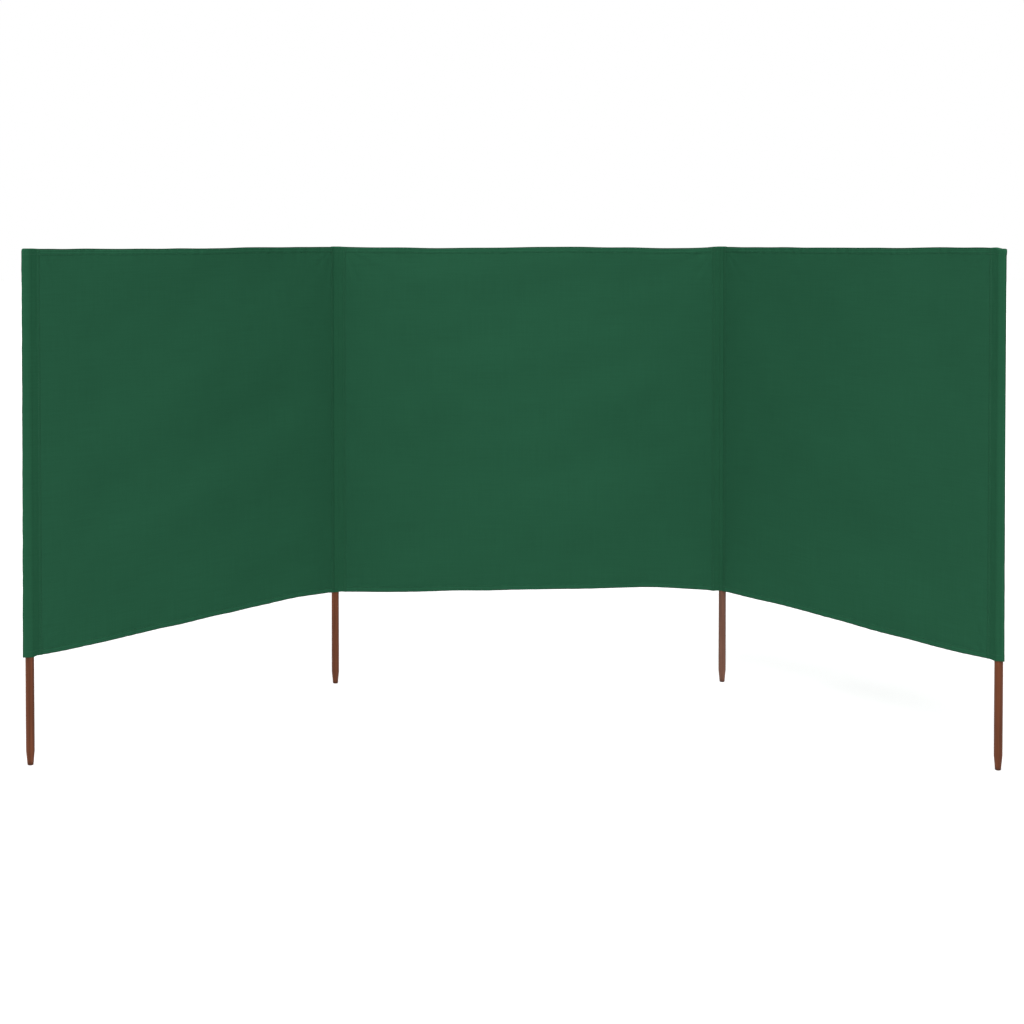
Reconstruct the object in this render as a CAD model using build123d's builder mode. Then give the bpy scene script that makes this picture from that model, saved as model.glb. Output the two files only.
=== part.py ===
from build123d import *
import os
from math import cos, radians, sin

# A beach windbreak of three cloth bays on four round wooden stakes, standing in a shallow U.
# The middle bay lies between the two inner stakes, and a wing comes forward from each of them.
# Millimetres. The origin is the foot of the inner left stake, X runs along the middle bay,
# -Y is the sheltered side and Z is up.

# Plan
bay_length = 1333.0  # from one stake's axis to the next
left_turn = 52.5  # degrees that the left wing turns forward out of the middle bay's line
right_turn = 60.5  # degrees that the right wing turns forward

# Stakes
stake_diameter = 25.0
stake_length = 1500.0
taper_length = 42.0  # turned taper at the foot
taper_diameter = 17.0  # where the taper meets the rounded foot
foot_round = 3.5
top_bevel = 1.5

# Cloth
cloth_height = 1184.0
cloth = 1.2  # one layer, thicker than the woven cloth itself
hem_height = 19.0
hem_slack = 0.3  # between the cloth's edge and the fold of its hem
seam_width = 9.0  # doubled cloth where a sleeve is stitched down

# Sleeves
stake_slack = 0.3  # between a stake and the cloth round it, and over its top
seam_reach = 30.0  # from a stake's axis to the stitching that closes its sleeve
fold_reach = 25.0  # from an outer stake's axis to the free folded edge
fold_round = 0.6  # inside radius of a folded edge
sleeve_drop = 3.0  # that an outer sleeve hangs below the bottom hem
hinge_slack = 0.3  # between a wing's cloth and the inner sleeve that it turns round
margin_gap = 2.0  # between a sleeve's margin and the hems

# Rims: how far each top rim dips and each bottom rim rises, and where its turning point lies.
# A wing's places are measured outwards from its inner stake, the middle bay's from the left.
left_top_dip = 4.0
left_top_dip_at = 700.0
left_bottom_rise = 9.0
left_bottom_rise_at = 390.0
middle_top_dip = 5.0
middle_top_dip_at = 930.0
middle_bottom_rise = 13.0
middle_bottom_rise_at = 1080.0
right_top_dip = 2.0
right_top_dip_at = 500.0
right_bottom_sag = 4.0
right_bottom_sag_at = 800.0

stake_radius = stake_diameter / 2
pocket_radius = stake_radius + stake_slack
sleeve_radius = pocket_radius + cloth
sleeve_top = stake_length + stake_slack + cloth
cloth_bottom = sleeve_top - cloth_height
seam_end = seam_reach + seam_width
hinge_edge = sleeve_radius + hinge_slack
hem_thickness = 3 * cloth

up = Vector(0, 0, 1)
middle_heading = Vector(1, 0, 0)
left_heading = Vector(-cos(radians(left_turn)), -sin(radians(left_turn)), 0)
right_heading = Vector(cos(radians(right_turn)), -sin(radians(right_turn)), 0)
inner_left = Vector(0, 0, 0)
inner_right = inner_left + middle_heading * bay_length
outer_left = inner_left + left_heading * bay_length
outer_right = inner_right + right_heading * bay_length

os.makedirs("parts", exist_ok=True)


def save(piece, name):
    piece.part.label = name
    export_step(piece.part, f"parts/{name}.step")


# Stakes: round rods with a turned taper, a rounded foot with a small flat face, and a bevelled top
stakes = {
    "stake_outer_left": outer_left,
    "stake_inner_left": inner_left,
    "stake_inner_right": inner_right,
    "stake_outer_right": outer_right,
}
for name, foot in stakes.items():
    with BuildPart() as stake:
        with BuildSketch(Plane(origin=foot, x_dir=middle_heading, z_dir=(0, -1, 0))) as profile:
            with BuildLine():
                Polyline(
                    (0, 0),
                    (taper_diameter / 2, 0),
                    (stake_radius, taper_length),
                    (stake_radius, stake_length),
                    (0, stake_length),
                    close=True,
                )
            make_face()
        revolve(axis=Axis(foot, up))
        rims = stake.edges().filter_by(GeomType.CIRCLE).group_by(Axis.Z)
        chamfer(rims[-1], top_bevel)
        fillet(rims[0], foot_round)
    save(stake, name)


def pocket_outline(layer, folded):
    """The sleeve in plan, grown by a layer: round the stake, to the seam, and to a free fold."""
    Circle(pocket_radius + layer)
    with Locations((seam_reach, 0)):
        Circle(fold_round + layer)
    if folded:
        with Locations((-(fold_reach - cloth - fold_round), 0)):
            Circle(fold_round + layer)
    make_hull()


# Sleeves: cloth wrapped round each stake, stitched to itself beside it and closed over its top
sleeves = {
    "sleeve_outer_left": (outer_left, -left_heading, True),
    "sleeve_inner_left": (inner_left, middle_heading, False),
    "sleeve_inner_right": (inner_right, -middle_heading, False),
    "sleeve_outer_right": (outer_right, -right_heading, True),
}
for name, (foot, seam_heading, folded) in sleeves.items():
    drop = sleeve_drop if folded else 0
    mouth = Plane(origin=foot + up * (cloth_bottom - drop), x_dir=seam_heading, z_dir=up)
    height = cloth_height + drop
    with BuildPart() as sleeve:
        with BuildSketch(mouth):
            pocket_outline(cloth, folded)
            with Locations((seam_reach, 0)):
                Rectangle(seam_width, 2 * cloth, align=(Align.MIN, Align.CENTER))
        extrude(amount=height)
        with BuildSketch(mouth):
            pocket_outline(0, folded)
        extrude(amount=height - cloth, mode=Mode.SUBTRACT)
    save(sleeve, name)


def rim(start, end, level, rise, turning):
    """A rim as two arcs that meet level at its highest or lowest point."""
    TangentArc((turning, level + rise), (start, level), tangent=(-1, 0))
    TangentArc((turning, level + rise), (end, level), tangent=(1, 0))


def band(start, end, lower, upper):
    """A face between two rims, each given by its level, its rise and its turning point."""
    with BuildLine() as outline:
        rim(start, end, *lower)
        rim(start, end, *upper)
        Line((start, lower[0]), (start, upper[0]))
        Line((end, lower[0]), (end, upper[0]))
    make_face(outline.edges())


# Bays: a cloth panel in each, with a folded hem along its top and bottom rims
bays = {
    "left": (
        Plane(origin=inner_left, x_dir=left_heading, z_dir=left_heading.cross(up)),
        hinge_edge,
        (-left_top_dip, left_top_dip_at),
        (left_bottom_rise, left_bottom_rise_at),
    ),
    "middle": (
        Plane(origin=inner_left, x_dir=middle_heading, z_dir=middle_heading.cross(up)),
        seam_end,
        (-middle_top_dip, middle_top_dip_at),
        (middle_bottom_rise, middle_bottom_rise_at),
    ),
    "right": (
        Plane(origin=inner_right, x_dir=right_heading, z_dir=right_heading.cross(up)),
        hinge_edge,
        (-right_top_dip, right_top_dip_at),
        (-right_bottom_sag, right_bottom_sag_at),
    ),
}
for name, (plane, start, top_curve, bottom_curve) in bays.items():
    end = bay_length - seam_end
    inset = cloth + hem_slack
    with BuildPart() as panel:
        with BuildSketch(plane):
            band(
                start,
                end,
                (cloth_bottom + inset, *bottom_curve),
                (sleeve_top - inset, *top_curve),
            )
        extrude(amount=cloth / 2, both=True)
    save(panel, f"cloth_{name}")

    hems = {
        "hem_top": ((sleeve_top - hem_height, *top_curve), (sleeve_top, *top_curve)),
        "hem_bottom": ((cloth_bottom, *bottom_curve), (cloth_bottom + hem_height, *bottom_curve)),
    }
    for hem_name, (lower, upper) in hems.items():
        with BuildPart() as hem:
            with BuildSketch(plane):
                band(start, end, lower, upper)
            extrude(amount=hem_thickness / 2, both=True)
            with BuildSketch(plane):
                band(
                    start,
                    end,
                    (cloth_bottom + cloth, *bottom_curve),
                    (sleeve_top - cloth, *top_curve),
                )
            extrude(amount=cloth / 2, both=True, mode=Mode.SUBTRACT)
        save(hem, f"{hem_name}_{name}")


# Margins: the edge of each inner sleeve's cloth, stitched to the back of the wing beside it
margins = {
    "sleeve_margin_left": ("left", 1),
    "sleeve_margin_right": ("right", -1),
}
for name, (wing, back) in margins.items():
    plane = bays[wing][0]
    low = cloth_bottom + hem_height + margin_gap
    high = sleeve_top - hem_height - margin_gap
    with BuildPart() as margin:
        with BuildSketch(plane.offset(back * cloth / 2)):
            with Locations((hinge_edge, low)):
                Rectangle(seam_width, high - low, align=Align.MIN)
        extrude(amount=back * cloth)
    save(margin, name)
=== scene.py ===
import math

import bpy
import numpy as np
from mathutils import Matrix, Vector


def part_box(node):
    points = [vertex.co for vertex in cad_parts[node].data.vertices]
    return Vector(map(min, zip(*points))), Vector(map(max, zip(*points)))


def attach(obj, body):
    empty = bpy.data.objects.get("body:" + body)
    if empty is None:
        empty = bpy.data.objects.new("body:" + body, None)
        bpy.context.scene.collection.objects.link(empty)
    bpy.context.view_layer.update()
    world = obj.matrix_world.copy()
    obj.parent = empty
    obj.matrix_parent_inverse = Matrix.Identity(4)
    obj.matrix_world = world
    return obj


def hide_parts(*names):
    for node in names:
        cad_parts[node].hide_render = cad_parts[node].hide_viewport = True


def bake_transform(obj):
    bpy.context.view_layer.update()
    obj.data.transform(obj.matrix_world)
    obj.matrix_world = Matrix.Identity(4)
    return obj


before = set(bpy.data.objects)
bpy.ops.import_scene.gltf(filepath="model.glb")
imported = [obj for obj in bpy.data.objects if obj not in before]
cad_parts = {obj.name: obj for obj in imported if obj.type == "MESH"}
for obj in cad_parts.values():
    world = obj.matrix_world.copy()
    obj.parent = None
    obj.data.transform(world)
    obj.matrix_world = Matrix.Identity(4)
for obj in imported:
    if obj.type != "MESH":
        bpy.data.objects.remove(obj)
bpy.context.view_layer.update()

bl_info = {
    "name": "Beach windbreak",
    "version": (1, 0, 0),
    "blender": (4, 5, 0),
    "location": "View3D > Sidebar > Windbreak",
    "description": "Dresses a packed beach windbreak in sewn cloth and stained wood",
    "category": "Add Mesh",
}

UP = np.array((0.0, 0.0, 1.0))


# Frame: places of the stakes and the cloth


def stake_axis(node):
    """The point where a stake's axis meets the ground."""
    low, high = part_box(node)
    return np.array(((low.x + high.x) / 2, (low.y + high.y) / 2, 0.0))


STAKES = ("stake_outer_left", "stake_inner_left", "stake_inner_right", "stake_outer_right")
AXES = {node: stake_axis(node) for node in STAKES}
(foot, head), (mouth, closed_top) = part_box("stake_inner_left"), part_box("sleeve_inner_left")
STAKE_RADIUS, STAKE_TOP = (head.x - foot.x) / 2, head.z
CLOTH_BOTTOM, CLOTH_TOP = mouth.z, closed_top.z


# Settings


def length(name, description, default):
    return bpy.props.FloatProperty(
        name=name, description=description, default=default, unit="LENGTH", precision=4
    )


def amount(name, description, default):
    return bpy.props.FloatProperty(name=name, description=description, default=default)


def lengths(name, description, default):
    values = {"name": name, "description": description, "default": default, "size": len(default)}
    return bpy.props.FloatVectorProperty(**values, unit="LENGTH", precision=4)


def turns(name, default):
    """The turning points of a rim: the distance of each from its bay's left stake, and its rise."""
    return lengths(name, "Place and rise of each of its three turning points", default)


def hex_text(name, description, default):
    """A colour, in sRGB."""
    return bpy.props.StringProperty(name=name, description=description, default=default)


def chosen(group):
    """The scene's values for one group of settings."""
    return getattr(bpy.context.scene, f"windbreak_{group}")


class ClothSettings(bpy.types.PropertyGroup):
    """Sizes and colour of the sewn cloth. Two values are for its left and its right end."""

    thickness: length("Cloth thickness", "One layer of the woven cloth", 0.0005)
    mesh_step: length("Mesh step", "From point to point of a bay", 0.0085)
    hem: length("Hem height", "Folded edge along the top and bottom", 0.019)
    seam_reach: length("Seam reach", "From a stake's axis to the seam of its sleeve", 0.030)
    wing_reach: length("Wing seam reach", "From an inner stake's axis to the wing's seam", 0.018)
    margin: length("Seam margin", "Doubled cloth outside the seam of a sleeve", 0.009)
    free_reach: lengths("Free edges", "From an end stake's axis to a folded edge", (0.0205, 0.018))
    flare: lengths("Flares", "How much further a free edge stands out at its foot", (0.006, 0.005))
    ear: lengths("Ears", "How far a free top corner's thick hem stands out", (0.0, 0.003))
    droop: lengths("Corner droops", "Fall of the cloth's free top corners", (0.007, 0.011))
    forward: length("Forward", "Of the stakes' line, where cloth leaves a sleeve", 0.008)
    fold_depth: length("Fold depth", "Typical depth of the soft folds in a bay", 0.0016)
    fan_depth: length("Fan depth", "Depth of the small folds from a corner", 0.0007)
    pucker: length("Pucker depth", "Depth of the small gathers along a seam", 0.0005)
    ripple: length("Rim ripple", "Unevenness of the top and bottom rims", 0.0004)
    right_lift: length("Right lift", "Rise of the cloth's edge just inside the right stake", 0.0035)
    colour: hex_text("Cloth colour", "Dyed polyester", "#295D43")
    # The sleeves' colour is the bays' cloth made a little darker, as painted shade against the
    # light that their round faces catch
    sleeve_shaded_colour: hex_text("Sleeve colour", "The same cloth cut from another roll", "#275A40")
    thread_colour: hex_text("Thread colour", "Sewing thread", "#31664B")


class RimSettings(bpy.types.PropertyGroup):
    """How far each rim leaves a straight line between its stakes."""

    left_top: turns("Left top", (0.300, -0.0012, 0.660, -0.0024, 0.980, 0.0003))
    left_bottom: turns("Left bottom", (0.190, -0.0046, 0.900, 0.0048, 1.170, 0.0090))
    middle_top: turns("Middle top", (0.360, -0.0046, 0.830, 0.0006, 1.190, -0.0058))
    middle_bottom: turns("Middle bottom", (0.200, -0.0026, 0.860, 0.0062, 1.120, 0.0124))
    right_top: turns("Right top", (0.220, -0.0004, 0.820, 0.0006, 1.235, 0.0048))
    right_bottom: turns("Right bottom", (0.540, 0.0000, 0.740, -0.0054, 1.130, -0.0058))


class StitchSettings(bpy.types.PropertyGroup):
    """Lockstitches along the hems and sleeves."""

    pitch: length("Stitch pitch", "From one stitch to the next", 0.005)
    stitch: length("Stitch length", "Thread that shows in one stitch", 0.0038)
    thread: length("Thread width", "Width of the sewing thread", 0.0006)
    hem_inset: length("Hem row", "From a hem's inner edge to its row of stitches", 0.0025)


class StakeSettings(bpy.types.PropertyGroup):
    """Stain of the wooden stakes."""

    colour: hex_text("Stain", "Red-brown stain of three stakes", "#6B3B24")
    pale_colour: hex_text("Paler stain", "Greyer stain of the inner right stake", "#744F40")


class StageSettings(bpy.types.PropertyGroup):
    """Camera, and strengths of the lights."""

    focal: length("Focal length", "Lens, for a 36 mm wide sensor", 0.07083)
    camera: bpy.props.FloatVectorProperty(
        name="Camera",
        description="Place of the camera",
        default=(0.4921, -6.8994, 1.5403),
        subtype="TRANSLATION",
    )
    turn: amount("Camera turn", "Degrees that the camera looks right of straight on", 0.96)
    tilt: amount("Camera tilt", "Degrees that the camera looks down", 1.75)
    shift: amount("Camera shift", "Vertical shift, as a share of the picture", -0.21)
    world: amount("World light", "White surroundings", 0.42)
    front: amount("Front light", "Soft light beside the camera", 0.64)
    high_left: amount("High left light", "Wide light high on the left", 1.40)
    high_right: amount("High right light", "Wide light high on the right", 0.88)
    back: amount("Back light", "Soft light from behind", 0.80)


# Node trees

WEAVE_PITCH = 0.0016  # of the weave that is drawn, in metres
BUMP_DEPTH = 0.0004  # of threads and grain, in metres
PAPER_GLOW = 0.31  # what the lit paper lacks to show as plain white
FOLD_EDGE = 0.006  # width of the painted shade and highlight beside a sleeve's free fold, in metres

# Painted shade and highlight of the cloth against its depth in a hem, in millimetres. Below 0 it
# is the distance from the free fold of a sleeve, less FOLD_EDGE. At 0 the cloth is flat.
HEM_PAINTED_SHADES = (
    (-6.0, 0.72), (-4.8, 0.76), (-3.4, 1.08), (-1.8, 1.05), (-0.6, 1.0), (0.0, 1.0), (0.3, 0.54),
    (3.2, 0.58), (4.0, 1.15), (6.4, 1.15), (7.2, 0.86), (9.2, 0.86), (10.2, 1.11), (12.8, 1.09),
    (14.2, 0.94), (16.4, 0.83), (18.2, 0.97), (19.4, 1.0), (25.0, 1.0),
)


def linear(text):
    """An sRGB hex colour as linear red, green, blue and alpha."""
    values = [int(text[i : i + 2], 16) / 255 for i in (1, 3, 5)]
    return [v / 12.92 if v <= 0.04045 else ((v + 0.055) / 1.055) ** 2.4 for v in values] + [1.0]


def add_node(tree, kind, inputs=None, **settings):
    """Adds a node, sets its properties, and sets or links its inputs by name or number.

    A node that is given as an input is linked by its first output."""
    made = tree.nodes.new(kind)
    for name, value in settings.items():
        setattr(made, name, value)
    for socket, value in (inputs or {}).items():
        if isinstance(value, bpy.types.Node):
            value = value.outputs[0]
        if isinstance(value, bpy.types.NodeSocket):
            tree.links.new(value, made.inputs[socket])
        else:
            made.inputs[socket].default_value = value
    return made


def new_material(name):
    """A material and its node tree, still empty."""
    material = bpy.data.materials.new(name)
    material.use_nodes = True
    material.node_tree.nodes.clear()
    return material, material.node_tree


def finish_material(tree, surface):
    add_node(tree, "ShaderNodeOutputMaterial", {"Surface": surface})


def object_place(tree):
    return add_node(tree, "ShaderNodeTexCoord").outputs["Object"]


def noise(tree, place, cycles, detail=2.0, roughness=0.5):
    """An uneven value of 0 to 1, with so many cycles per metre along each axis."""
    scaled = add_node(tree, "ShaderNodeMapping", {"Vector": place, "Scale": cycles})
    inputs = {"Vector": scaled, "Scale": 1.0, "Detail": detail, "Roughness": roughness}
    return add_node(tree, "ShaderNodeTexNoise", inputs)


def ramp(tree, value, low, high, start=0.3, end=0.7):
    """Maps a value from start to end onto low to high. Noise mostly keeps to 0.3 to 0.7."""
    inputs = {"Value": value, "From Min": start, "From Max": end, "To Min": low, "To Max": high}
    return add_node(tree, "ShaderNodeMapRange", inputs)


def maths(tree, operation, *values):
    return add_node(tree, "ShaderNodeMath", dict(enumerate(values)), operation=operation)


def toned(tree, colour, value, *others):
    """A hex colour times one or more values."""
    for other in others:
        value = maths(tree, "MULTIPLY", value, other)
    base = add_node(tree, "ShaderNodeRGB")
    base.outputs[0].default_value = linear(colour)
    return add_node(tree, "ShaderNodeVectorMath", {0: base, 3: value}, operation="SCALE")


def bump(tree, strength, height):
    inputs = {"Strength": strength, "Distance": BUMP_DEPTH, "Height": height}
    return add_node(tree, "ShaderNodeBump", inputs)


def finish_coat(tree, tone, roughness, specular, **others):
    """Ends a tree with one opaque coat over the whole surface."""
    inputs = {"Base Color": tone, "Roughness": roughness, "Specular IOR Level": specular}
    finish_material(tree, add_node(tree, "ShaderNodeBsdfPrincipled", {**inputs, **others}))


def seen(tree):
    """1 where the camera sees a surface, also in a mirror or through glass, and 0 for its light."""
    rays = add_node(tree, "ShaderNodeLightPath").outputs
    either = maths(tree, "MAXIMUM", rays["Is Camera Ray"], rays["Is Glossy Ray"])
    return maths(tree, "MAXIMUM", either, rays["Is Transmission Ray"])


def polyester_cloth(name, colour):
    """Plain-woven dyed polyester, matt from every side.

    Its threads are about 0.4 mm apart. That is too fine to show, so the weave is drawn at
    WEAVE_PITCH, and the uneven threads that catch the eye are drawn 4 mm wide and a hand long.
    Uneven dye makes the broad, faint patches."""
    material, tree = new_material(name)
    place = add_node(tree, "ShaderNodeAttribute", attribute_name="cloth_place").outputs["Vector"]
    weft = noise(tree, place, (7, 260, 1))
    warp = noise(tree, place, (260, 7, 1))
    dye = noise(tree, place, (3.1, 3.6, 1), detail=3.0)
    tone = toned(
        tree,
        colour,
        ramp(tree, weft, 0.965, 1.035),
        ramp(tree, warp, 0.972, 1.028),
        ramp(tree, dye, 0.98, 1.02),
        # Painted shade and highlight along the hems and beside a sleeve's free fold
        painted_hem_shade(tree, place),
    )
    # At a scale of 1 the bands of a wave texture are 2 pi / 20 apart.
    inputs = {"Vector": place, "Scale": 2 * math.pi / 20 / WEAVE_PITCH}
    across, along = [
        add_node(tree, "ShaderNodeTexWave", inputs, bands_direction=axis).outputs["Fac"]
        for axis in ("X", "Y")
    ]
    weave = maths(tree, "MULTIPLY", across, along)
    height = maths(tree, "MULTIPLY_ADD", maths(tree, "ADD", weft, warp), 0.5, weave)
    finish_coat(tree, tone, 0.9, 0.01, Normal=bump(tree, 0.35, height))
    return material


def painted_hem_shade(tree, place):
    """Painted shade and highlight of the cloth by its depth in a hem, the third of its own
    coordinates.

    Painted shade darkens a folded edge, and the cloth where it is pressed down over the turned-in
    edge and under the stitches. Painted highlight makes the ridges between paler."""
    low, high = HEM_PAINTED_SHADES[0][0] / 1000, HEM_PAINTED_SHADES[-1][0] / 1000
    depth = add_node(tree, "ShaderNodeSeparateXYZ", {"Vector": place}).outputs["Z"]
    curve = add_node(
        tree, "ShaderNodeFloatCurve", {"Value": ramp(tree, depth, 0.0, 1.0, low, high)}
    )
    # A curve ends at 1, so it is drawn at half of each shade and doubled.
    points = [((far / 1000 - low) / (high - low), shade / 2) for far, shade in HEM_PAINTED_SHADES]
    line = curve.mapping.curves[0]
    line.points[0].location, line.points[1].location = points[0], points[-1]
    for point in points[1:-1]:
        line.points.new(*point)
    for point in line.points:
        point.handle_type = "VECTOR"
    curve.mapping.update()
    return maths(tree, "MULTIPLY", curve, 2.0)


def sewing_thread(colour):
    """Bonded polyester thread, a little glossier than the cloth. Its twist is too fine to show."""
    material, tree = new_material("sewing_thread")
    shade = ramp(tree, noise(tree, object_place(tree), (40, 40, 40)), 0.9, 1.1)
    finish_coat(tree, toned(tree, colour, shade), 0.6, 0.3)
    return material


def stained_pine(name, colour):
    """Turned pine under a thin red-brown stain: satin, with darker grain lines along the stake.

    The fine grain is 2 mm wide, and the darker figure that catches the eye is drawn 8 mm wide,
    broader than in the wood. Blotches of stain lie over both, and the foot is darker over its last
    centimetre."""
    material, tree = new_material(name)
    place = object_place(tree)
    grain = noise(tree, place, (420, 420, 9), detail=4.0, roughness=0.6)
    figure = noise(tree, place, (120, 120, 2.5), detail=3.0)
    blotch = noise(tree, place, (14, 14, 7))
    height = add_node(tree, "ShaderNodeSeparateXYZ", {"Vector": place}).outputs["Z"]
    tone = toned(
        tree,
        colour,
        ramp(tree, grain, 0.82, 1.14),
        ramp(tree, figure, 0.72, 1.24),
        ramp(tree, blotch, 0.9, 1.08),
        ramp(tree, height, 0.5, 1.0, start=0.002, end=0.013),
    )
    roughness = ramp(tree, grain, 0.62, 0.48)
    finish_coat(tree, tone, roughness, 0.18, Normal=bump(tree, 0.5, grain))
    return material


def seamless_paper():
    """White studio paper: it takes the shadow, and shows as plain white where none falls."""
    material, tree = new_material("seamless_paper")
    grain = noise(tree, object_place(tree), (60, 60, 60))
    inputs = {"Color": linear("#E6E6E6"), "Roughness": ramp(tree, grain, 0.4, 0.6)}
    paper = add_node(tree, "ShaderNodeBsdfDiffuse", inputs)
    strength = maths(tree, "MULTIPLY", seen(tree), PAPER_GLOW)
    glow = add_node(tree, "ShaderNodeEmission", {"Color": (1, 1, 1, 1), "Strength": strength})
    finish_material(tree, add_node(tree, "ShaderNodeAddShader", {0: paper, 1: glow}))
    return material


# Meshes

DENSE = 0.06  # reach, from a panel's edge, of its closer points, in metres


def new_object(name, data):
    """An object of some data, linked to the scene."""
    made = bpy.data.objects.new(name, data)
    bpy.context.scene.collection.objects.link(made)
    return made


def mesh_object(name, points, faces, place, material):
    """A smooth mesh object, with the cloth's own coordinates kept on its points."""
    mesh = bpy.data.meshes.new(name)
    mesh.from_pydata([tuple(p) for p in points], [], faces)
    mesh.polygons.foreach_set("use_smooth", [True] * len(mesh.polygons))
    if place is not None:
        attribute = mesh.attributes.new("cloth_place", "FLOAT_VECTOR", "POINT")
        attribute.data.foreach_set("vector", np.asarray(place, np.float32).ravel())
    mesh.materials.append(material)
    return new_object(name, mesh)


def shell(front, back, place):
    """A closed shell between two grids of points: its points, faces and cloth coordinates."""
    rows, columns = front.shape[:2]
    behind = rows * columns
    index = np.arange(behind).reshape(rows, columns)
    a, b, c, d = index[:-1, :-1], index[:-1, 1:], index[1:, 1:], index[1:, :-1]
    faces = np.stack((a, b, c, d), -1).reshape(-1, 4).tolist()
    faces += (np.stack((a, d, c, b), -1) + behind).reshape(-1, 4).tolist()
    rim = np.concatenate((index[0, :-1], index[:-1, -1], index[-1, :0:-1], index[:0:-1, 0]))
    far = rim + behind
    faces += np.stack((rim, far, np.roll(far, -1), np.roll(rim, -1)), -1).tolist()
    points = np.concatenate((front.reshape(-1, 3), back.reshape(-1, 3)))
    places = np.concatenate((place.reshape(-1, 3), place.reshape(-1, 3)))
    return points, faces, places


def joined(strips):
    """The shells of several strips as one list of points, faces and cloth coordinates."""
    points, faces, places = zip(*(strip.shell() for strip in strips))
    starts = np.cumsum([0] + [len(some) for some in points])
    faces = [[i + start for i in face] for start, some in zip(starts, faces) for face in some]
    return np.concatenate(points), faces, np.concatenate(places)


def graded(total, step):
    """Places from 0 to a total, a step apart, and half a step apart near each end."""
    near = np.linspace(0, DENSE, int(2 * DENSE / step))[:-1]
    middle = np.linspace(DENSE, total - DENSE, int((total - 2 * DENSE) / step))
    return np.concatenate((near, middle, (total - near)[::-1]))


def ease(value, start, end):
    """0 up to start, 1 from end on, and a smooth rise between them."""
    share = np.clip((value - start) / (end - start), 0.0, 1.0)
    return share * share * (3 - 2 * share)


def waves(seed, count, shortest, longest, heading, spread):
    """A smooth uneven surface: waves of chance length and phase, about one heading in degrees.

    Its typical height is 1."""
    chance = np.random.RandomState(seed)
    sizes = chance.uniform(shortest, longest, count)
    headings = np.radians(heading + spread * chance.standard_normal(count))
    phases = chance.uniform(0, 2 * math.pi, count)
    heights = sizes / np.sqrt((sizes**2).sum() / 2)

    def height(x, y):
        total = np.zeros(np.broadcast(x, y).shape)
        for size, way, phase, tall in zip(sizes, headings, phases, heights):
            along = x * math.cos(way) + y * math.sin(way)
            total = total + tall * np.sin(2 * math.pi * along / size + phase)
        return total

    return height


# Bays

# How the cloth's forms fade, in metres from a seam, a rim or a corner
RIM_ROUNDING = 0.07  # to each side of a rim's turning point
RIM_END = 0.03  # where a rim is free of the seam
RIPPLE_END = 0.1  # where a rim has its full ripple
FORWARD_END = 0.3  # where the cloth is back in the stakes' line
FOLD_END = 0.26  # where the soft folds are full
GATHER_END = 0.05  # where a hem's gathers are full
SEAM_FADE = 0.022  # of the gathers beside a seam
HEM_HOLD, HEM_FADE = 0.015, 0.02  # of the gathers beside a hem
FAN_START, FAN_FULL, FAN_FADE = 0.012, 0.07, 0.15  # of the folds that spread from a corner

# Sizes of the cloth's edges, in metres
TUCK = 0.0015  # of a panel under its hems and sleeves
HEM_STEP = 0.0045  # from point to point along a hem
HEM_ROLL = 0.0011  # radius of a hem's folded edge
HEM_SLACK = 0.0001  # of the cloth round that edge
HEM_INSIDE = 0.00008  # from the panel to the hem's inside
HEM_GATHER = 0.0003  # unevenness of a hem's inner edge

# Moves each bay's weave on, so that no two bays show the same threads, in metres
WEAVE_SHIFTS = {"left": 0.0, "middle": 1.4, "right": 2.8}


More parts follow.
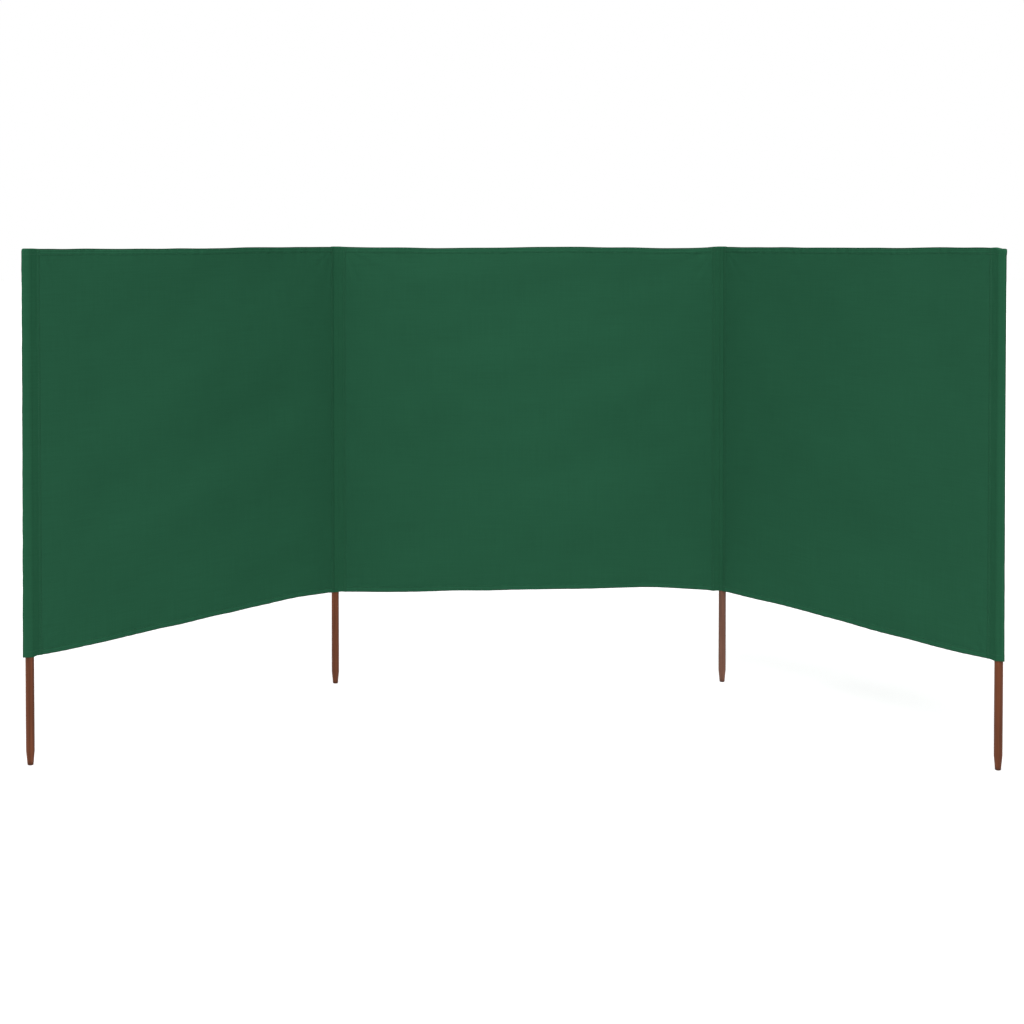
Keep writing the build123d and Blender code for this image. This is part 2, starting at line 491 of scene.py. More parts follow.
class Bay:
    """One bay of cloth, measured from its left stake to its right one as seen from the shelter.

    s is the distance along the bay, z the height, and n the distance in front of the plane of
    its stakes."""

    def __init__(self, name, number, seed, heading, lift=0.0):
        cloth, rims = chosen("cloth"), chosen("rims")
        self.cloth, self.stakes = cloth, list(STAKES[number : number + 2])
        self.name, self.body = name, {"middle": "middle_bay"}.get(name, f"{name}_wing")
        self.left, self.right = (AXES[stake] for stake in self.stakes)
        self.length = float(np.linalg.norm(self.right - self.left))
        self.along = (self.right - self.left) / self.length
        self.front = np.cross(self.along, UP)
        self.top_curve = *getattr(rims, f"{name}_top"), lift
        self.bottom_curve = *getattr(rims, f"{name}_bottom"), 0.0
        self.start = cloth.wing_reach if name == "right" else cloth.seam_reach
        self.end = self.length - (cloth.wing_reach if name == "left" else cloth.seam_reach)
        self.broad = waves(seed, 7, 0.26, 0.52, heading, 14)
        self.fine = waves(seed + 1, 9, 0.11, 0.24, heading + 6, 26)
        self.side_gathers = waves(seed + 2, 8, 0.028, 0.075, 90, 10)
        self.hem_gathers = waves(seed + 3, 8, 0.022, 0.06, 0, 10)
        self.top_ripple = waves(seed + 4, 6, 0.12, 0.42, 0, 0)
        self.bottom_ripple = waves(seed + 5, 6, 0.12, 0.42, 0, 0)
        self.fan_turns = np.random.RandomState(seed + 6).uniform(0, 2 * math.pi, 4)

    def bow(self, s, curve):
        """The rise of a rim: straight from one turning point to the next, and rounded at each."""
        places = (self.start, *curve[:-1:2], self.end)
        rises = (0, *curve[1::2], curve[-1])
        rounding = np.linspace(-RIM_ROUNDING, RIM_ROUNDING, 11)
        bent = np.mean([np.interp(s + shift, places, rises) for shift in rounding], axis=0)
        loose = self.ends(s, RIM_END)
        return bent * loose + rises[-1] * (1 - loose) * (s > self.length / 2)

    def ends(self, s, reach):
        """0 at the sleeves' seams and 1 from a reach inside them."""
        return ease(s - self.start, 0, reach) * ease(self.end - s, 0, reach)

    def rim(self, s, top):
        curve = self.top_curve if top else self.bottom_curve
        ripple = self.top_ripple if top else self.bottom_ripple
        level = CLOTH_TOP if top else CLOTH_BOTTOM
        uneven = self.cloth.ripple * ripple(s, 0 * s) * self.ends(s, RIPPLE_END)
        return level + self.bow(s, curve) + uneven

    def fans(self, s, z):
        """Small folds that spread from each corner, where the cloth pulls on its stake."""
        total = np.zeros(np.broadcast(s, z).shape)
        corners = [(at_left, top) for at_left in (True, False) for top in (True, False)]
        for (at_left, top), turn in zip(corners, self.fan_turns):
            across = np.clip(s - self.start if at_left else self.end - s, 0, None)
            down = np.clip(self.rim(s, True) - z if top else z - self.rim(s, False), 0, None)
            far = np.hypot(across, down)
            angle = np.arctan2(down, across + 1e-6)
            # Two sets of rays, of 13 and of 21 folds to a full turn
            fold = np.sin(13 * angle + turn) + 0.5 * np.sin(21 * angle + 2 * turn)
            total = total + fold * ease(far, FAN_START, FAN_FULL) * np.exp(-far / FAN_FADE)
        return total

    def relief(self, s, z):
        """How far the cloth stands before its stakes' plane: soft folds, then small gathers."""
        folds = self.broad(s, z) + 0.35 * self.fine(s, z)
        folds = folds * self.cloth.fold_depth * self.ends(s, FOLD_END)
        from_side = np.minimum(s - self.start, self.end - s)
        beside = np.exp(-np.clip(from_side, 0, None) / SEAM_FADE)
        beside = beside * ease(from_side, 0.001, 0.012)
        from_rim = np.minimum(self.rim(s, True) - z, z - self.rim(s, False))
        near_hem = np.exp(-np.clip(from_rim - HEM_HOLD, 0, None) / HEM_FADE)
        gathers = self.side_gathers(s, z) * beside
        gathers = gathers + self.hem_gathers(s, z) * near_hem * self.ends(s, GATHER_END)
        small = self.cloth.fan_depth * self.fans(s, z) + self.cloth.pucker * gathers
        forward = self.cloth.forward * (1 - ease(from_side, 0, FORWARD_END))
        return forward + folds + small

    def place(self, s, z, n):
        """Points in the frame, from arrays of s, z and n."""
        s, z, n = np.broadcast_arrays(s, z, n)
        return self.left + s[..., None] * self.along + z[..., None] * UP + n[..., None] * self.front


def make_bays():
    lift = chosen("cloth").right_lift
    return Bay("left", 0, 11, 106), Bay("middle", 1, 21, 112), Bay("right", 2, 31, 80, lift)


def panel_piece(bay, material):
    """The woven cloth of one bay, a thin closed sheet with the bay's folds in it."""
    cloth = bay.cloth
    s = bay.start + TUCK + graded(bay.end - bay.start - 2 * TUCK, cloth.mesh_step)
    share = graded(CLOTH_TOP - CLOTH_BOTTOM, cloth.mesh_step) / (CLOTH_TOP - CLOTH_BOTTOM)
    low, high = bay.rim(s, False) + TUCK, bay.rim(s, True) - TUCK
    z = low[None, :] + share[:, None] * (high - low)[None, :]
    s = np.broadcast_to(s, z.shape)
    n = bay.relief(s, z)
    front = bay.place(s, z, n + cloth.thickness / 2)
    back = bay.place(s, z, n - cloth.thickness / 2)
    place = np.stack((s + WEAVE_SHIFTS[bay.name], z, 0 * z), -1)
    made = mesh_object(f"panel_{bay.name}", *shell(front, back, place), material)
    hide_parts(f"cloth_{bay.name}")
    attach(made, bay.body)
    return made


def hem_section():
    """A hem in section: depths from its fold and distances from the panel, outside and inside.

    Both run from the turned-in edge on one face, round the fold, to the edge on the other face.
    The cloth is pressed flat at its edge and at the stitches, and puffs up beyond them."""
    cloth = chosen("cloth")
    row = cloth.hem - chosen("stitches").hem_inset
    depths = np.array([cloth.hem, cloth.hem - 0.0006, row, row - 0.003, 0.010, 0.005, 0.0022])
    puffs = np.array([0.00045, 0.00075, 0.00055, 0.00085, 0.0010, 0.0011, 0.0011]) + HEM_SLACK
    round_fold = np.radians([60, 30, 0, -30, -60])
    roll = HEM_ROLL - HEM_ROLL * np.cos(round_fold), (HEM_ROLL + HEM_SLACK) * np.sin(round_fold)
    depth = np.concatenate((depths, roll[0], depths[::-1]))
    puff = np.concatenate((puffs, roll[1], -puffs[::-1]))
    inner_depth = np.clip(depth, 0.0014, None)
    inner_depth[0] = inner_depth[-1] = cloth.hem - 0.0001
    inside = cloth.thickness / 2 + HEM_INSIDE
    return (depth, puff), (inner_depth, np.clip(puff, -inside, inside))


def hem_piece(bay, top, material):
    """A hem: the cloth's edge folded over, a little puffed between its fold and its stitches."""
    side, down, chance = ("top", -1, (3, 51)) if top else ("bottom", 1, (5, 52))
    s = np.linspace(bay.start + 0.001, bay.end - 0.001, int(bay.length / HEM_STEP))
    rim, loose = bay.rim(s, top), bay.ends(s, RIM_END)
    gather = HEM_GATHER * bay.hem_gathers(s, 0 * s + chance[0]) * loose
    swell = waves(chance[1], 6, 0.018, 0.05, 0, 0)(s, 0 * s)
    swell = 1 + 0.25 * np.clip(swell, -1.5, 1.5) * loose

    def surface(depth, puff, lively):
        z = rim[:, None] + down * depth[None, :]
        z = z + lively * gather[:, None] * (depth / bay.cloth.hem)[None, :]
        n = bay.relief(s[:, None], z) + puff[None, :] * (1 + lively * (swell[:, None] - 1))
        return bay.place(s[:, None], z, n)

    outside, inside = hem_section()
    outer, inner = surface(*outside, 1.0), surface(*inside, 0.0)
    z = rim[:, None] + down * outside[0][None, :]
    # A little more than the depth, so that all of the hem takes the hems' painted shade and
    # highlight, none of it the flat cloth's
    depth = 0 * z + outside[0] + 0.0004
    place = np.stack((s[:, None] + 0 * z + WEAVE_SHIFTS[bay.name], z, depth), -1)
    grids = (inner, outer) if top else (outer, inner)
    made = mesh_object(f"{side}_hem_{bay.name}", *shell(*grids, place), material)
    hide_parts(f"hem_{side}_{bay.name}")
    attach(made, bay.body)
    return made


# Sleeves

# Sizes of a sleeve's cloth, in metres
STAKE_GAP = 0.0009  # between a stake and the cloth round it
MARGIN_GAP = 0.0004  # between a bay and a sleeve's margin
TOP_RISE = 0.0012  # of the closed top over the cloth's top
HEM_LIFT = 0.0007  # of the cloth where a hem lies under it
LOOSE_LIFT = 0.0008  # of cloth that isn't drawn tight round the stake
SMALL_CREASE = 0.0002
BAY_PULL = 0.0011  # of the top of a sleeve's margin, down, by its bay
MOUTH_WAVE, MOUTH_WAVE_LENGTH = 0.0006, 0.043  # of the mouth's edge
MOUTH_ROW, TOP_ROW = 0.0165, 0.014  # rows of stitches, from the mouth and from the stake's top
# Rows of points from the mouth and from the stake's top. The rows above those close over the
# stake, each by so many degrees.
MOUTH_ROWS = np.array([0, 0.0012, 0.004, 0.009, 0.0135, MOUTH_ROW, 0.02])
TOP_ROWS = np.array([0.024, 0.019, TOP_ROW, 0.0095, 0.006, 0.0035, 0.0016, 0.0005])
CLOSING = np.radians([12, 26, 42, 57, 70, 80, 86.5, 88.5])


class Side:
    """A bay's edge beside a stake: the way to the bay, and the reach of the sleeve's seam there."""

    def __init__(self, bay, at_left):
        self.bay, self.at_left = bay, at_left
        self.axis = bay.left if at_left else bay.right
        self.outward = bay.along if at_left else -bay.along
        self.angle = math.atan2(self.outward[1], self.outward[0])
        self.reach = bay.start if at_left else bay.length - bay.end

    def s(self, reach):
        return reach if self.at_left else self.bay.length - reach

    def relief(self, reach, z):
        return self.bay.relief(self.s(reach) + 0 * z, z)


def pocket_radius(angle, radius, ways):
    """The distance from the stake's axis, at each angle, of cloth drawn round it to some points.

    A point is given by its way, as an angle, and its reach from the axis."""
    found = np.full_like(angle, radius)
    for way, reach in ways:
        turned = np.abs((angle - way + math.pi) % (2 * math.pi) - math.pi)
        leave = math.acos(radius / reach)
        flank = radius / np.cos(np.clip(leave - turned, 0, leave))
        found = np.where(turned < leave, np.maximum(found, flank), found)
    return found


def spaced_evenly(line, step):
    """A line of points again, at even steps."""
    far = np.concatenate(([0], np.cumsum(np.linalg.norm(np.diff(line, axis=0), axis=1))))
    at = np.linspace(0, far[-1], max(8, int(far[-1] / step)))
    return np.stack([np.interp(at, far, column) for column in line.T], -1)


def hem_share(z):
    """1 where a hem's three layers lie under a sleeve's cloth, at its top and its foot."""
    hem = chosen("cloth").hem
    return np.maximum(
        ease(z, CLOTH_TOP - hem - 0.002, CLOTH_TOP - hem + 0.001),
        ease(z, CLOTH_BOTTOM + hem + 0.002, CLOTH_BOTTOM + hem - 0.001),
    )


class Strip:
    """One strip of a sleeve, from one seam margin round the stake to the other.

    It runs from one Side to another, or round the stake and back to the same Side, folded at
    fold_reach from the stake's axis. turn is 1 or -1, the way that its angle grows. Its points
    stand in rows from the mouth to the closed top."""

    step = 0.0024

    def __init__(self, first, last, turn, seed, fold_reach=0.0, *free):
        cloth = self.cloth = chosen("cloth")
        self.first, self.last, self.turn, self.seed = first, last, turn, seed
        self.fold_reach, self.folded = fold_reach, first is last
        self.radius = STAKE_RADIUS + STAKE_GAP + cloth.thickness
        between = turn * (last.angle - first.angle) % (2 * math.pi)
        self.span = 2 * math.pi if self.folded else between
        line = self.plan()
        reach = np.linalg.norm(line, axis=1)
        self.girth = girth = np.arange(len(line)) * self.step
        on_first = girth < girth[-1] / 2
        ray, closed = self.shut_plan(line, reach, on_first)
        rows, shut = self.rows()
        z = np.broadcast_to(rows[:, None], (len(rows), len(line))).copy()
        seam = np.where(on_first, first.reach, last.reach)
        flank, beside_bay, loose = self.shares(reach, seam, ray, closed, shut)
        flat = line[None] + shut[..., None] * (closed - line)[None]
        flat = flat + self.bay_relief(z, reach, seam, on_first, flank)
        if self.folded:
            flat, z, loose = self.free_edge(flat, z, loose, closed, *free)

        crease = waves(seed, 9, 0.05, 0.16, 78, 16)(girth[None], z)
        small_crease = waves(seed + 1, 9, 0.018, 0.05, 60, 25)(girth[None], z)
        out = HEM_LIFT * hem_share(z) * (0.35 + 0.65 * beside_bay)
        out = out + LOOSE_LIFT * loose * (0.6 + 0.5 * crease)
        out = out + SMALL_CREASE * small_crease * (loose + 0.25)
        pull = ease(reach, 0.015, seam + cloth.margin)
        z = z - BAY_PULL * pull * ease(z, CLOTH_TOP - 0.03, CLOTH_TOP)
        mouth = 1 - ease(z, rows[0], rows[0] + 0.03)
        wave = np.sin(girth * 2 * math.pi / MOUTH_WAVE_LENGTH + seed)
        self.z = z + MOUTH_WAVE * wave[None] * mouth
        self.flat, self.shut, self.out = flat, shut, out * (1 - shut)
        tangent = np.gradient(line, axis=0)
        tangent /= np.linalg.norm(tangent, axis=1)[:, None]
        self.normal = turn * np.stack((tangent[:, 1], -tangent[:, 0]), -1)

    def plan(self):
        """The strip's outer face seen from above: a margin, the cloth round the stake, a margin."""
        first, last, turn = self.first, self.last, self.turn
        ways = [(first.angle, first.reach), (last.angle, last.reach)]
        if self.folded:
            ways.append((first.angle + math.pi, self.fold_reach))
        lift = self.cloth.thickness + MARGIN_GAP
        from_end = lift / first.reach, lift / last.reach
        angle = first.angle + turn * np.linspace(from_end[0], self.span - from_end[1], 260)
        reach = pocket_radius(angle, self.radius, ways)
        ring = np.stack((reach * np.cos(angle), reach * np.sin(angle)), -1)

        def margin(side, sign):
            way = side.outward[:2]
            far = np.linspace(side.reach + self.cloth.margin, side.reach + 0.0005, 12)
            return far[:, None] * way + sign * lift * np.array((-way[1], way[0]))

        line = np.concatenate((margin(first, turn), ring, margin(last, -turn)[::-1]))
        line = spaced_evenly(line, 0.0009)
        for _ in range(10):
            line[1:-1] = (line[:-2] + 2 * line[1:-1] + line[2:]) / 4
        return spaced_evenly(line, self.step)

    def shut_plan(self, line, reach, on_first):
        """Where each point of the plan goes when the top closes: onto a ridge along the bays."""
        begin, turn = self.first.angle, self.turn
        angle = np.arctan2(line[:, 1], line[:, 0])
        gone = np.mod(turn * (angle - begin) + 0.3, 2 * math.pi) - 0.3
        if self.folded:
            ray = np.where(np.abs(gone - math.pi) < math.pi / 2, math.pi, 0.0)
            off = np.where(gone < math.pi, gone, 2 * math.pi - gone)
            off = np.where(ray > 0, math.pi - off, off) / (math.pi / 2)
        else:
            ray = np.where(on_first, 0.0, self.span)
            off = np.abs(gone - ray) / (self.span / 2)
        inward = reach * np.cos(np.clip(off, 0, 1) * math.pi / 2)
        way = begin + turn * ray
        return ray, inward[:, None] * np.stack((np.cos(way), np.sin(way)), -1)

    def rows(self):
        """The height of each row, and how far it has closed over the stake."""
        body = np.arange(0.032, STAKE_TOP - 0.03 - CLOTH_BOTTOM, 0.012)
        near_top = STAKE_TOP - CLOTH_BOTTOM - TOP_ROWS
        heights = CLOTH_BOTTOM + np.concatenate((MOUTH_ROWS, body, near_top))
        stitched = heights[0] + MOUTH_ROW, STAKE_TOP - TOP_ROW
        self.stitch_rows = [int(np.argmin(np.abs(heights - height))) for height in stitched]
        over = heights[-1] + (CLOTH_TOP + TOP_RISE - heights[-1]) * np.sin(CLOSING)
        shut = np.concatenate((0 * heights, 1 - np.cos(CLOSING)))[:, None]
        return np.concatenate((heights, over)), shut

    def shares(self, reach, seam, ray, closed, shut):
        """Shares of 0 to 1: how far cloth has gone from the stake to the seam, how far it lies
        beside the bay, and how loose it is."""
        radius, at_bay = self.radius, ray < 0.1 if self.folded else 1
        beside_bay = ease(reach, np.maximum(seam - 0.006, radius + 0.001), seam) * at_bay
        loose = ease(reach, radius + 0.0004, radius + 0.004) * (1 - beside_bay)
        flank = np.clip((reach**2 - radius**2) / (seam**2 - radius**2), 0, 1) ** 0.5
        ridge = np.clip((np.linalg.norm(closed, axis=1) - radius) / (seam - radius), 0, 1)
        flank = (flank[None] + shut * (ridge - flank)[None]) * at_bay
        return flank, beside_bay, loose

    def free_edge(self, flat, z, loose, closed, droop, flare, ear, lift):
        """Lets a folded strip's free edge flare at its foot and its top corner stand out and fall.

        lift raises the top on the bay's side. Only cloth beyond the stake falls."""
        free = closed @ -self.first.outward[:2]
        share = (z - CLOTH_BOTTOM) / (CLOTH_TOP - CLOTH_BOTTOM)
        flare = flare * np.clip(1 - share, 0, 1) ** 1.5
        ear = ear * np.exp(-(((CLOTH_TOP - z) / 0.012) ** 2))
        beyond = ease(free, STAKE_RADIUS * 0.5, self.fold_reach)[None]
        flat = flat - ((flare + ear) * beyond)[..., None] * self.first.outward[:2]
        fall = ease(free, STAKE_RADIUS - 0.001, self.fold_reach)[None]
        z = z - droop * fall * ease(z, CLOTH_TOP - 0.045, CLOTH_TOP) ** 1.5
        inside = ease(-free, 0.0, 1.6 * STAKE_RADIUS)[None]
        z = z + lift * inside * ease(z, CLOTH_TOP - 0.06, CLOTH_TOP - 0.002)
        loose = loose * (1 - 0.7 * ease(free, 0.6 * self.fold_reach, self.fold_reach))
        return flat, z, loose

    def bay_relief(self, z, reach, seam, on_first, flank):
        """Moves the margins with the folds of the bays that they are stitched to."""
        moved = np.zeros(z.shape + (2,))
        for part, side in ((on_first, self.first), (~on_first, self.last)):
            there = side.relief(np.maximum(reach, seam)[part][None], z[:, part]) * flank[:, part]
            moved[:, part] = there[..., None] * side.bay.front[:2]
        return moved

    def surface(self, lift):
        """The strip's outer face, or a face at a lift from it."""
        away = (self.out + lift) * (1 - 0.9 * self.shut)
        bent = self.flat + away[..., None] * self.normal[None] + self.first.axis[:2]
        return np.concatenate((bent, self.z[..., None]), -1)

    def shell(self):
        outer, inner = self.surface(0.0), self.surface(-self.cloth.thickness)
        girth = np.broadcast_to(self.girth[None] + self.seed * 0.37, self.z.shape)
        # Beside a sleeve's free fold the depth goes below 0, which gives its edge painted shade and
        # highlight
        from_fold = np.abs(self.girth - self.girth[-1] / 2) if self.folded else 1 + 0 * self.girth
        depth = np.broadcast_to(np.minimum(from_fold - FOLD_EDGE, 0), self.z.shape)
        place = np.stack((girth, self.z, depth), -1)
        return shell(outer, inner, place) if self.turn > 0 else shell(inner, outer, place)

    def stitch_lines(self):
        """Rows of stitches round the mouth and below the closed top, left out on a sharp fold."""
        lines = list(self.surface(0.0001)[self.stitch_rows])
        if not self.folded:
            return lines
        half, gap = len(self.girth) // 2, 2
        return [part for line in lines for part in (line[: half - gap], line[half + gap :])]


def make_sleeves():
    """The strips of each sleeve: one folded round an end stake, two round an inner one."""
    cloth = chosen("cloth")
    left, middle, right = make_bays()
    outer_left, outer_right = Side(left, True), Side(right, False)
    inner_left = Side(left, False), Side(middle, True)
    inner_right = Side(middle, False), Side(right, True)
    lifts = 0.0, cloth.right_lift
    left_free, right_free = zip(cloth.free_reach, cloth.droop, cloth.flare, cloth.ear, lifts)
    return {
        "outer_left": [Strip(outer_left, outer_left, 1, 61, *left_free)],
        "inner_left": [Strip(*inner_left, 1, 71), Strip(*inner_left, -1, 73)],
        "inner_right": [Strip(*inner_right, 1, 79), Strip(*inner_right, -1, 81)],
        "outer_right": [Strip(outer_right, outer_right, -1, 67, *right_free)],
    }


def follow(made, strip):
    """Lets a folded sleeve's piece ride its wing, and bakes any other piece's place into its mesh.
    """
    first, last = strip.first, strip.last
    if strip.folded:
        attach(made, first.bay.body)
        return
    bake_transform(made)


# Stitches

ROW_REACH = 0.001  # from a sleeve's margin to the end of a hem's rows, in metres
ROW_LIFT = 0.00072  # of a hem's stitches from the middle of the cloth
MARGIN_INSET = 0.0016  # from a margin's edges to its two rows
MARGIN_LIFT = 0.00045  # of a margin's stitches over the cloth's thickness


def stitch_tree(material):
    """Geometry nodes that lay a small thread lozenge at every pitch along each line."""
    tree = bpy.data.node_groups.new("stitch_rows", "GeometryNodeTree")
    sockets = {"Lines": "Geometry", "Pitch": "Float", "Stitch Length": "Float"}
    sockets.update({"Thread Width": "Float", "Seed": "Int", "Stitches": "Geometry"})
    for name, kind in sockets.items():
        way = "OUTPUT" if name == "Stitches" else "INPUT"
        tree.interface.new_socket(name, in_out=way, socket_type=f"NodeSocket{kind}")
    given = add_node(tree, "NodeGroupInput").outputs
    curve = add_node(tree, "GeometryNodeMeshToCurve", {"Mesh": given["Lines"]})
    inputs = {"Curve": curve, "Length": given["Pitch"]}
    rows = add_node(tree, "GeometryNodeResampleCurve", inputs, mode="LENGTH")
    tangent = add_node(tree, "GeometryNodeInputTangent")
    turn = add_node(tree, "FunctionNodeAlignRotationToVector", {"Vector": tangent}, axis="X")
    # No two stitches are quite as long or as thick.
    inputs = {"Min": (0.86, 0.9, 0.9), "Max": (1.08, 1.1, 1.1), "Seed": given["Seed"]}
    sway = add_node(tree, "FunctionNodeRandomValue", inputs, data_type="FLOAT_VECTOR")
    width = given["Thread Width"]
    inputs = {"X": given["Stitch Length"], "Y": width, "Z": width}
    size = add_node(tree, "ShaderNodeCombineXYZ", inputs)
    uneven = add_node(tree, "ShaderNodeVectorMath", {0: size, 1: sway}, operation="MULTIPLY")
    inputs = {"Segments": 6, "Rings": 4, "Radius": 0.5}
    lozenge = add_node(tree, "GeometryNodeMeshUVSphere", inputs)
    inputs = {"Points": rows, "Instance": lozenge, "Rotation": turn, "Scale": uneven}
    laid = add_node(tree, "GeometryNodeInstanceOnPoints", inputs)
    real = add_node(tree, "GeometryNodeRealizeInstances", {"Geometry": laid})
    soft = add_node(tree, "GeometryNodeSetShadeSmooth", {0: real})
    done = add_node(tree, "GeometryNodeSetMaterial", {"Geometry": soft, "Material": material})
    add_node(tree, "NodeGroupOutput", {"Stitches": done})
    return tree


def lay_stitches(name, lines, tree, seed):
    """Stitches along lines of points, as one mesh."""
    points, edges = [], []
    for line in lines:
        first = len(points)
        points += [tuple(p) for p in line]
        edges += [(first + i, first + i + 1) for i in range(len(line) - 1)]
    mesh = bpy.data.meshes.new(name + "_lines")
    mesh.from_pydata(points, edges, [])
    host = new_object(name + "_lines", mesh)
    modifier = host.modifiers.new("stitches", "NODES")
    modifier.node_group = tree
    stitches = chosen("stitches")
    values = stitches.pitch, stitches.stitch, stitches.thread, seed
    sockets = [item for item in tree.interface.items_tree if item.in_out == "INPUT"]
    for socket, value in zip(sockets[1:], values):
        modifier[socket.identifier] = value
    host.update_tag()
    bpy.context.view_layer.update()
    laid = host.evaluated_get(bpy.context.evaluated_depsgraph_get())
    real = bpy.data.meshes.new_from_object(laid)
    real.name = name
    bpy.data.objects.remove(host)
    bpy.data.meshes.remove(mesh)
    made = new_object(name, real)
    return made


def hem_lines(bay, top):
    """Two rows for a hem, one on each face, a little inside its edge."""
    reach = bay.cloth.margin + ROW_REACH
    s = np.linspace(bay.start + reach, bay.end - reach, 190)
    depth = bay.cloth.hem - chosen("stitches").hem_inset
    z = bay.rim(s, top) + (-depth if top else depth)
    return [bay.place(s, z, bay.relief(s, z) + way * ROW_LIFT) for way in (1, -1)]


def margin_lines(side):
    """Rows that hold a sleeve's margin to the bay: two on the front and two on the back."""
    cloth = chosen("cloth")
    z = np.linspace(CLOTH_BOTTOM + 0.002, CLOTH_TOP - 0.003, 170)
    lift = cloth.thickness + MARGIN_LIFT + HEM_LIFT * hem_share(z)
    lines = []
    for inset in (MARGIN_INSET, cloth.margin - MARGIN_INSET):
        reach = side.reach + inset
        s = side.s(reach) + 0 * z
        for way in (1, -1):
            lines.append(side.bay.place(s, z, side.relief(reach, z) + way * lift))
    return lines


# Stage

FLOOR_HALF = 60.0  # half of the floor's width, in metres


def soft_sun(name, azimuth, elevation, strength, spread):
    """A wide soft sun from a side of the object; azimuth 0 is the camera's side, 90 its right."""
    lamp = bpy.data.lights.new(name, "SUN")
    lamp.energy = strength
    lamp.angle = math.radians(spread)
    made = new_object(name, lamp)
    made.rotation_euler = (math.radians(90 - elevation), 0, math.radians(azimuth))


def white_world(strength):
    """White surroundings that light the scene at a strength of their own."""
    world = bpy.data.worlds.new("white_studio")
    world.use_nodes = True
    tree = world.node_tree
    tree.nodes.clear()
    light = ramp(tree, seen(tree), strength, 1.0, start=0.0, end=1.0)
    shader = add_node(tree, "ShaderNodeBackground", {"Color": (1, 1, 1, 1), "Strength": light})
    add_node(tree, "ShaderNodeOutputWorld", {"Surface": shader})
    return world


def photo_camera(stage):
    """The camera of the photograph, with its lens shifted so that upright lines stay upright."""
    lens = bpy.data.cameras.new("camera")
    lens.sensor_width = 36.0
    lens.lens = stage.focal * 1000
    lens.shift_y = stage.shift
    camera = new_object("camera", lens)
    camera.location = stage.camera
    camera.rotation_euler = (math.radians(90 - stage.tilt), 0, math.radians(-stage.turn))
    return camera


# Operators


class WINDBREAK_OT_panels(bpy.types.Operator):
    """Make the woven cloth of the three bays"""

    bl_idname = "windbreak.panels"
    bl_label = "Cloth Bays"

    def execute(self, context):
        material = polyester_cloth("woven_polyester", chosen("cloth").colour)
        for bay in make_bays():
            panel_piece(bay, material)
        return {"FINISHED"}


class WINDBREAK_OT_hems(bpy.types.Operator):
    """Fold a hem along the top and bottom rims of each bay"""

    bl_idname = "windbreak.hems"
    bl_label = "Hems"

    def execute(self, context):
        material = polyester_cloth("folded_hem_cloth", chosen("cloth").colour)
        for bay in make_bays():
            for top in (True, False):
                hem_piece(bay, top, material)
        return {"FINISHED"}


class WINDBREAK_OT_sleeves(bpy.types.Operator):
    """Wrap a sleeve of cloth round each stake"""

    bl_idname = "windbreak.sleeves"
    bl_label = "Sleeves"

    def execute(self, context):
        # The sleeves take the darker colour, painted shade
        material = polyester_cloth("sleeve_cloth", chosen("cloth").sleeve_shaded_colour)
        for name, strips in make_sleeves().items():
            made = mesh_object(f"pocket_{name}", *joined(strips), material)
            place, side = name.split("_")
            margins = [f"sleeve_margin_{side}"] if place == "inner" else []
            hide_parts(f"sleeve_{name}", *margins)
            follow(made, strips[0])
        return {"FINISHED"}


class WINDBREAK_OT_stitches(bpy.types.Operator):
    """Lay the rows of stitches along the hems and the sleeves' margins"""

    bl_idname = "windbreak.stitches"
    bl_label = "Stitches"

    def execute(self, context):
        tree = stitch_tree(sewing_thread(chosen("cloth").thread_colour))
        for number, bay in enumerate(make_bays()):
            lines = hem_lines(bay, True) + hem_lines(bay, False)
            lines += margin_lines(Side(bay, True)) + margin_lines(Side(bay, False))
            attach(lay_stitches(f"bay_stitches_{bay.name}", lines, tree, number), bay.body)
        for number, (name, strips) in enumerate(make_sleeves().items(), 11):
            lines = sum((strip.stitch_lines() for strip in strips), [])
            follow(lay_stitches(f"pocket_stitches_{name}", lines, tree, number), strips[0])
        return {"FINISHED"}


class WINDBREAK_OT_stakes(bpy.types.Operator):
    """Stain the wooden stakes"""

    bl_idname = "windbreak.stakes"
    bl_label = "Stakes"

    def execute(self, context):
        stain = stained_pine("stained_pine", chosen("stakes").colour)
        pale = stained_pine("pale_stained_pine", chosen("stakes").pale_colour)
        for node in STAKES:
            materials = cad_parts[node].data.materials
            materials.clear()
            materials.append(pale if node == "stake_inner_right" else stain)
        return {"FINISHED"}


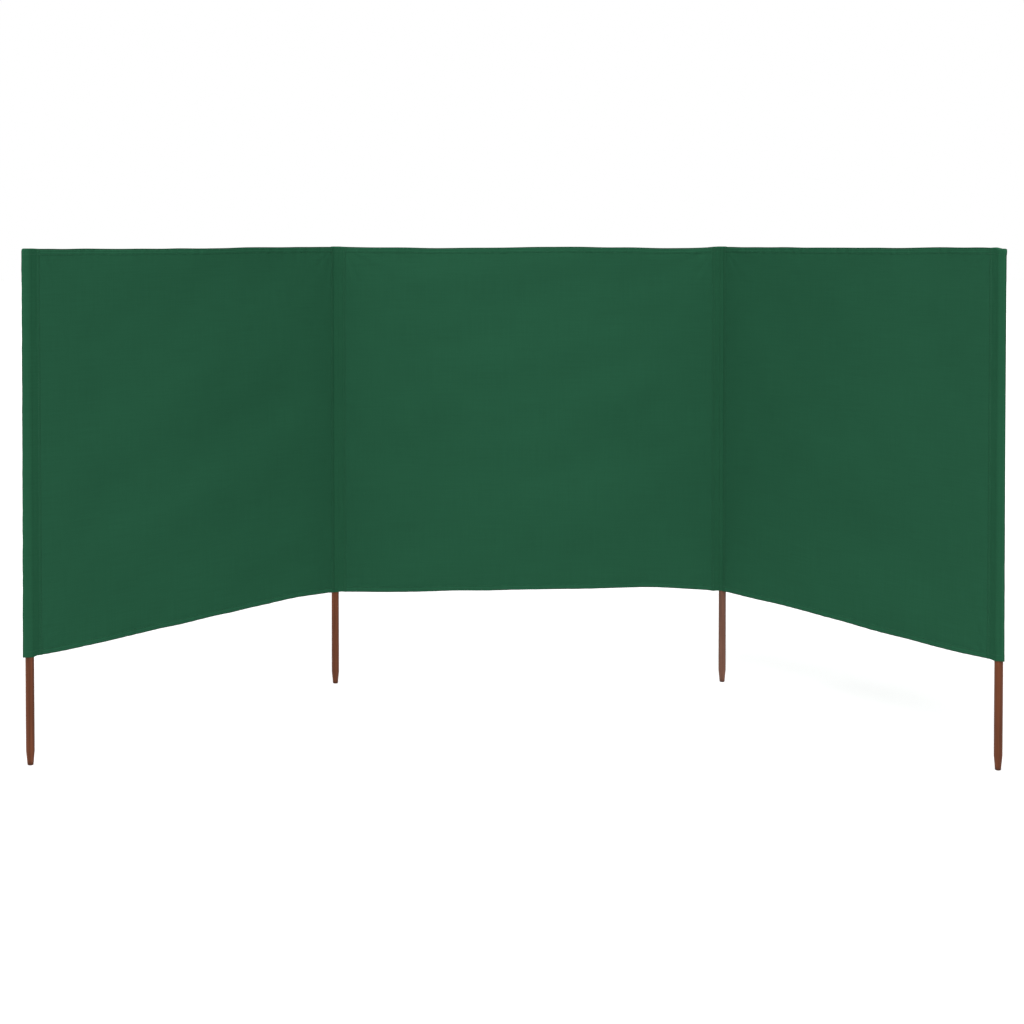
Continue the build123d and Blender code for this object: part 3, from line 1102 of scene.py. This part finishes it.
class WINDBREAK_OT_stage(bpy.types.Operator):
    """Set the white floor, the soft light and the camera"""

    bl_idname = "windbreak.stage"
    bl_label = "Stage"

    def execute(self, context):
        scene, stage = context.scene, chosen("stage")
        low, high = -FLOOR_HALF, FLOOR_HALF
        corners = [(low, low, 0), (high, low, 0), (high, high, 0), (low, high, 0)]
        floor = mesh_object("floor", corners, [(0, 1, 2, 3)], None, seamless_paper())
        scene.world = white_world(stage.world)
        soft_sun("front", 4, 33, stage.front, 25)
        soft_sun("high_left", -60, 58, stage.high_left, 60)
        soft_sun("high_right", 60, 58, stage.high_right, 60)
        soft_sun("behind", 176, 38, stage.back, 50)
        scene.camera = photo_camera(stage)
        scene.view_settings.view_transform = "Standard"
        return {"FINISHED"}


class WINDBREAK_PT_sidebar(bpy.types.Panel):
    """The windbreak's pieces, in the order in which they are made"""

    bl_idname = "WINDBREAK_PT_sidebar"
    bl_label = "Windbreak"
    bl_space_type = "VIEW_3D"
    bl_region_type = "UI"
    bl_category = "Windbreak"

    def draw(self, context):
        for operator in OPERATORS:
            self.layout.operator(operator.bl_idname)
        for group in GROUPS:
            settings = getattr(context.scene, group)
            box = self.layout.box()
            for name in settings.bl_rna.properties.keys():
                if name not in ("rna_type", "name"):
                    box.prop(settings, name)


GROUPS = {
    "windbreak_cloth": ClothSettings,
    "windbreak_rims": RimSettings,
    "windbreak_stitches": StitchSettings,
    "windbreak_stakes": StakeSettings,
    "windbreak_stage": StageSettings,
}
OPERATORS = (
    WINDBREAK_OT_panels,
    WINDBREAK_OT_hems,
    WINDBREAK_OT_sleeves,
    WINDBREAK_OT_stitches,
    WINDBREAK_OT_stakes,
    WINDBREAK_OT_stage,
)


def register():
    for group in (*GROUPS.values(), *OPERATORS, WINDBREAK_PT_sidebar):
        bpy.utils.register_class(group)
    for name, group in GROUPS.items():
        setattr(bpy.types.Scene, name, bpy.props.PointerProperty(type=group))


def unregister():
    for name in GROUPS:
        delattr(bpy.types.Scene, name)
    for group in reversed((*GROUPS.values(), *OPERATORS, WINDBREAK_PT_sidebar)):
        bpy.utils.unregister_class(group)


def declare_sheets():
    """Makes the bays and the sleeves' strips again, and does nothing more with them."""
    for bay in make_bays():
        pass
    for name, strips in make_sleeves().items():
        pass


def main():
    register()
    bpy.ops.windbreak.panels()
    bpy.ops.windbreak.hems()
    bpy.ops.windbreak.sleeves()
    bpy.ops.windbreak.stitches()
    bpy.ops.windbreak.stakes()
    bpy.ops.windbreak.stage()
    declare_sheets()


if __name__ == "__main__":
    main()
